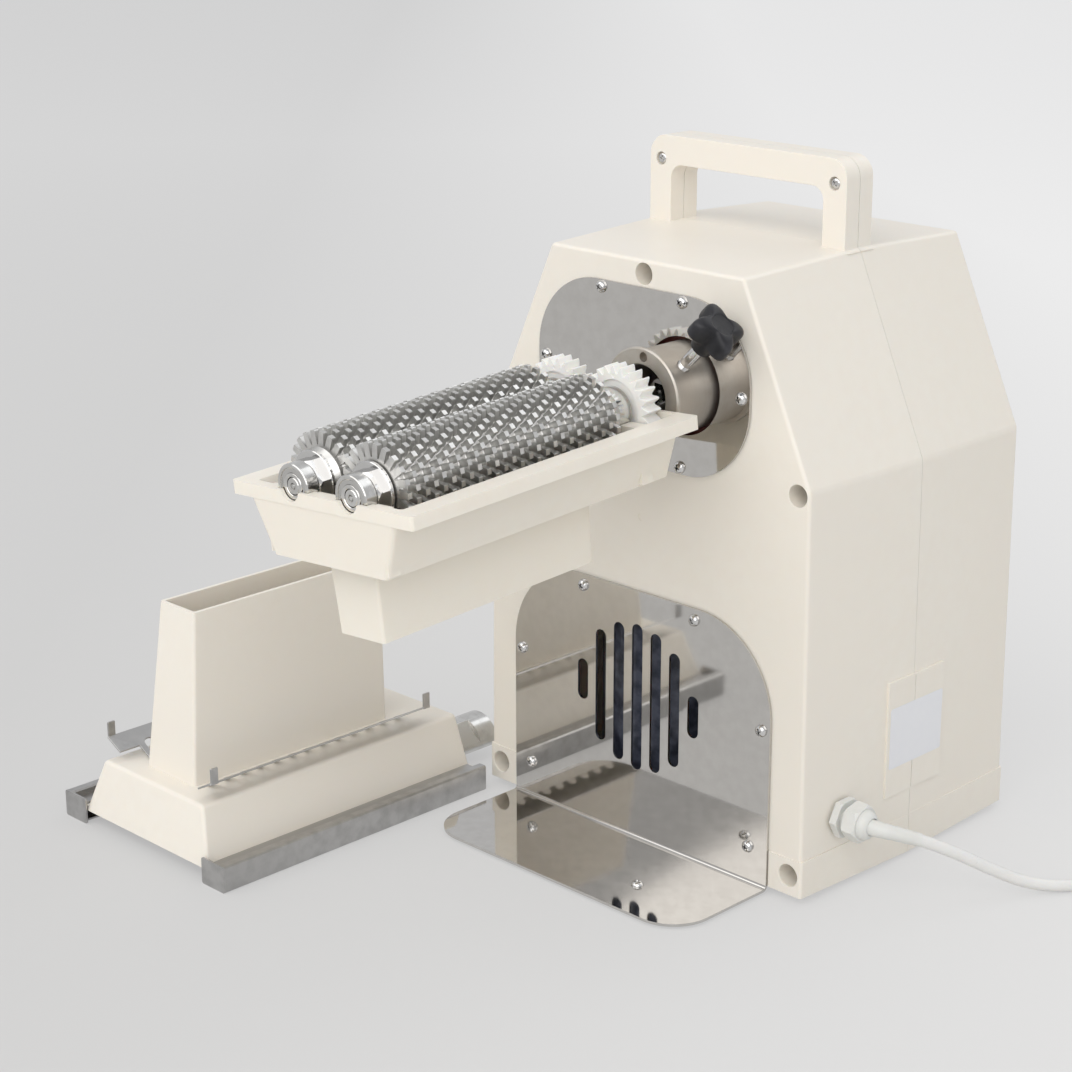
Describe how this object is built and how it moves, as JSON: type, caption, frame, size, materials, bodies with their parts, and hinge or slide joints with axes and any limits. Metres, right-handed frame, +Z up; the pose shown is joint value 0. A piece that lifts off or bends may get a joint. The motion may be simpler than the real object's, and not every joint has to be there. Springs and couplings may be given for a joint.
{
  "type": "electric meat tenderizer",
  "caption": "Bench-top motor drive with a clamped tray of twin toothed rollers, and its feed hood with stripper combs and clip rails standing beside it.",
  "frame": {"origin": "centre of the bounding box of everything but the mains cord, at the floor", "axes": "+X to the drive's right seen from the front, +Y towards its back, +Z up; the tray with the rollers points along -Y"},
  "size_m": [0.7011, 0.51, 0.445],
  "materials": {
    "cream_plastic": "moulded, light sheen",
    "white_nylon": "satin",
    "bronze": "machined",
    "rubber": "matte",
    "black_plastic": "light sheen",
    "grey_nylon": "satin",
    "white_pvc": "glossy, flexible",
    "cast_alloy": "as cast",
    "motor_enamel": "semi-gloss",
    "polished_steel": "mirror polished",
    "turned_steel": "turned, satin",
    "stainless_steel": "brushed"
  },
  "bodies": {
    "drive": {"Cord_Coil": "white_pvc", "Drive_Socket": "turned_steel", "Foot_1": "rubber", "Foot_2": "rubber", "Foot_3": "rubber", "Foot_4": "rubber", "Front_Shell": "cream_plastic", "Gearbox_Case": "cast_alloy", "Gearbox_Cover": "cast_alloy", "Gland_Body": "grey_nylon", "Gland_Nut": "grey_nylon", "Handle_Screw_1": "stainless_steel", "Handle_Screw_2": "stainless_steel", "Lower_Plate": "polished_steel", "Lower_Screw_1": "stainless_steel", "Lower_Screw_2": "stainless_steel", "Lower_Screw_3": "stainless_steel", "Lower_Screw_4": "stainless_steel", "Lower_Screw_5": "stainless_steel", "Lower_Screw_6": "stainless_steel", "Mains_Cord": "white_pvc", "Mains_Plug": "white_pvc", "Motor_Body": "motor_enamel", "Pad_Screw": "stainless_steel", "Plate_Pad": "rubber", "Rear_Shell": "cream_plastic", "Switch_Body": "black_plastic", "Upper_Plate": "polished_steel", "Upper_Screw_1": "stainless_steel", "Upper_Screw_2": "stainless_steel", "Upper_Screw_3": "stainless_steel", "Upper_Screw_4": "stainless_steel", "Upper_Screw_5": "stainless_steel", "Upper_Screw_6": "stainless_steel"},
    "output": {"Output_Shaft": "stainless_steel", "Reduction_Wheel": "bronze"},
    "motor_rotor": {"Motor_Shaft": "stainless_steel"},
    "tray": {"Tray": "cream_plastic", "Tray_Spigot": "stainless_steel", "Front_Bearing_A": "stainless_steel", "Front_Bearing_B": "stainless_steel", "Rear_Bearing_A": "stainless_steel", "Rear_Bearing_B": "stainless_steel"},
    "roller_a": {"Shaft_A": "stainless_steel", "Blades_A": "stainless_steel", "Nut_A": "stainless_steel", "Gear_A": "white_nylon"},
    "roller_b": {"Shaft_B": "stainless_steel", "Blades_B": "stainless_steel", "Nut_B": "stainless_steel", "Gear_B": "white_nylon"},
    "clamp": {"Clamp_Stud": "stainless_steel", "Clamp_Knob": "black_plastic"},
    "switch": {"Switch_Rocker": "black_plastic"},
    "hood": {"Hood": "cream_plastic", "Hood_Spigot": "stainless_steel"},
    "comb_left": {"Comb_Left": "stainless_steel"},
    "comb_right": {"Comb_Right": "stainless_steel"},
    "rail_left": {"Rail_Left": "stainless_steel"},
    "rail_right": {"Rail_Right": "stainless_steel"}
  },
  "joints": [
    {"name": "output_turn", "type": "hinge", "parent": "drive", "child": "output", "pos_m": [0.10282, 0.08464, 0.3135], "axis": [0, 1, 0], "continuous": true},
    {"name": "motor_turn", "type": "hinge", "parent": "drive", "child": "motor_rotor", "pos_m": [0.05242, 0.08464, 0.24], "axis": [0, 0, 1], "continuous": true},
    {"name": "tray_slide", "type": "slide", "parent": "drive", "child": "tray", "axis": [0, -0.9986, -0.0523], "range_m": [0, 0.25]},
    {"name": "roller_a_turn", "type": "hinge", "parent": "tray", "child": "roller_a", "pos_m": [0.10282, -0.12825, 0.30528], "axis": [0, 0.9986, 0.0523], "continuous": true},
    {"name": "roller_b_turn", "type": "hinge", "parent": "tray", "child": "roller_b", "pos_m": [0.05396, -0.12806, 0.3017], "axis": [0, 0.9986, 0.0523], "continuous": true},
    {"name": "clamp_turn", "type": "hinge", "parent": "drive", "child": "clamp", "pos_m": [0.10282, 0.00614, 0.3135], "axis": [0.7071, 0, 0.7071], "range_deg": [0, 720]},
    {"name": "switch_rock", "type": "hinge", "parent": "drive", "child": "switch", "pos_m": [-0.06628, 0.19464, 0.091], "axis": [0, 1, 0], "range_deg": [0, 14]},
    {"name": "hood_lift", "type": "slide", "parent": "drive", "child": "hood", "axis": [0, 0, 1], "range_m": [0, 0.25]},
    {"name": "comb_left_lift", "type": "slide", "parent": "hood", "child": "comb_left", "axis": [0, 0, 1], "range_m": [0, 0.12]},
    {"name": "comb_right_lift", "type": "slide", "parent": "hood", "child": "comb_right", "axis": [0, 0, 1], "range_m": [0, 0.12]},
    {"name": "rail_left_slide", "type": "slide", "parent": "hood", "child": "rail_left", "axis": [0, -1, 0], "range_m": [0, 0.2]},
    {"name": "rail_right_slide", "type": "slide", "parent": "hood", "child": "rail_right", "axis": [0, -1, 0], "range_m": [0, 0.2]}
  ],
  "couplings": [
    {"joint": "motor_turn", "follows": "output_turn", "ratio": 20},
    {"joint": "roller_a_turn", "follows": "output_turn", "ratio": 1},
    {"joint": "roller_b_turn", "follows": "output_turn", "ratio": -1}
  ]
}
